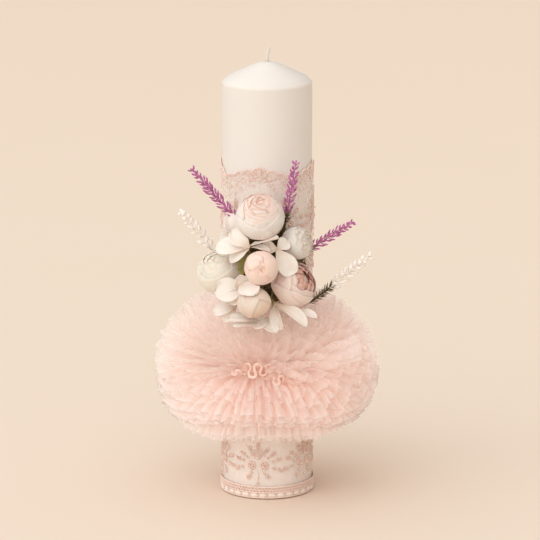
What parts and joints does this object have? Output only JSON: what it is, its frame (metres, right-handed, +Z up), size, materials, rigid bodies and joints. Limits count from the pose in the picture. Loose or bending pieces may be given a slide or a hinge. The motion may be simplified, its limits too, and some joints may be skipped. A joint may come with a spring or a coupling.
{
  "type": "unity candle",
  "caption": "Tall white pillar candle in a festooned lace sleeve, with a full gathered tulle ruff and a front posy of fabric flowers, lavender and pale sprigs.",
  "frame": {"origin": "centre of the flat base of the candle, on the surface it stands on", "axes": "+Z up along the candle and wick; the posy faces -Y; +X is to the right seen from the front"},
  "size_m": [0.182, 0.1838, 0.3535],
  "materials": {
    "wax": "satin wax",
    "wick_cotton": "waxed braid",
    "steel": "bare",
    "lace": "embroidered tulle",
    "tulle": "soft net",
    "felt": "felt",
    "moss": "coarse fibre",
    "petal_blush": "matt cloth",
    "petal_white": "matt cloth",
    "petal_pink": "matt cloth",
    "petal_cream": "matt cloth",
    "petal_peach": "matt cloth",
    "petal_hydrangea": "matt cloth",
    "stem_green": "matt",
    "leaf": "matt cloth",
    "lavender": "matt flocked",
    "white_sprig": "matt"
  },
  "bodies": {
    "candle": {"wax_pillar": "wax", "wick": "wick_cotton", "wick_sustainer": "steel", "lace_sleeve": "lace", "lace_edge_cord": "lace", "lace_hem": "lace", "tulle_band": "tulle", "tulle_cord": "tulle", "tulle_ruffle_upper": "tulle", "tulle_ruffle_lower": "tulle", "corsage_backing": "felt", "moss_pad": "moss", "ranunculus_blush_heart": "petal_blush", "ranunculus_blush_petals": "petal_blush", "ranunculus_blush_stem": "stem_green", "ranunculus_white_heart": "petal_white", "ranunculus_white_petals": "petal_white", "ranunculus_white_stem": "stem_green", "peony_pink_heart": "petal_pink", "peony_pink_petals": "petal_pink", "peony_pink_stem": "stem_green", "peony_cream_heart": "petal_cream", "peony_cream_petals": "petal_cream", "peony_cream_stem": "stem_green", "bud_peach_heart": "petal_peach", "bud_peach_petals": "petal_peach", "bud_peach_stem": "stem_green", "bud_cream_heart": "petal_cream", "bud_cream_petals": "petal_cream", "bud_cream_stem": "stem_green", "hydrangea_1": "petal_hydrangea", "hydrangea_2": "petal_hydrangea", "hydrangea_3": "petal_hydrangea", "hydrangea_4": "petal_hydrangea", "hydrangea_5": "petal_hydrangea", "hydrangea_6": "petal_hydrangea", "hydrangea_7": "petal_hydrangea", "hydrangea_8": "petal_hydrangea", "leaf_left": "leaf", "leaf_low": "leaf", "leaf_right": "leaf", "lavender_left_stub": "stem_green", "lavender_top_stub": "stem_green", "lavender_right_stub": "stem_green", "white_left_stub": "stem_green", "white_right_stub": "stem_green"},
    "lavender_left_spike": {"lavender_left": "lavender"},
    "lavender_top_spike": {"lavender_top": "lavender"},
    "lavender_right_spike": {"lavender_right": "lavender"},
    "white_left_spike": {"white_left": "white_sprig"},
    "white_right_spike": {"white_right": "white_sprig"}
  },
  "joints": [
    {"name": "lavender_left_bend", "type": "hinge", "parent": "candle", "child": "lavender_left_spike", "pos_m": [-0.0253, -0.046, 0.2297], "axis": [0, -1, 0], "range_deg": [-15, 20]},
    {"name": "lavender_top_bend", "type": "hinge", "parent": "candle", "child": "lavender_top_spike", "pos_m": [0.0138, -0.0445, 0.2237], "axis": [0, -1, 0], "range_deg": [-15, 15]},
    {"name": "lavender_right_bend", "type": "hinge", "parent": "candle", "child": "lavender_right_spike", "pos_m": [0.0301, -0.038, 0.201], "axis": [0, -1, 0], "range_deg": [-15, 15]},
    {"name": "white_left_bend", "type": "hinge", "parent": "candle", "child": "white_left_spike", "pos_m": [-0.0388, -0.027, 0.1958], "axis": [0, -1, 0], "range_deg": [-15, 15]},
    {"name": "white_right_bend", "type": "hinge", "parent": "candle", "child": "white_right_spike", "pos_m": [0.0325, -0.042, 0.1607], "axis": [0, -1, 0], "range_deg": [-12, 15]}
  ]
}
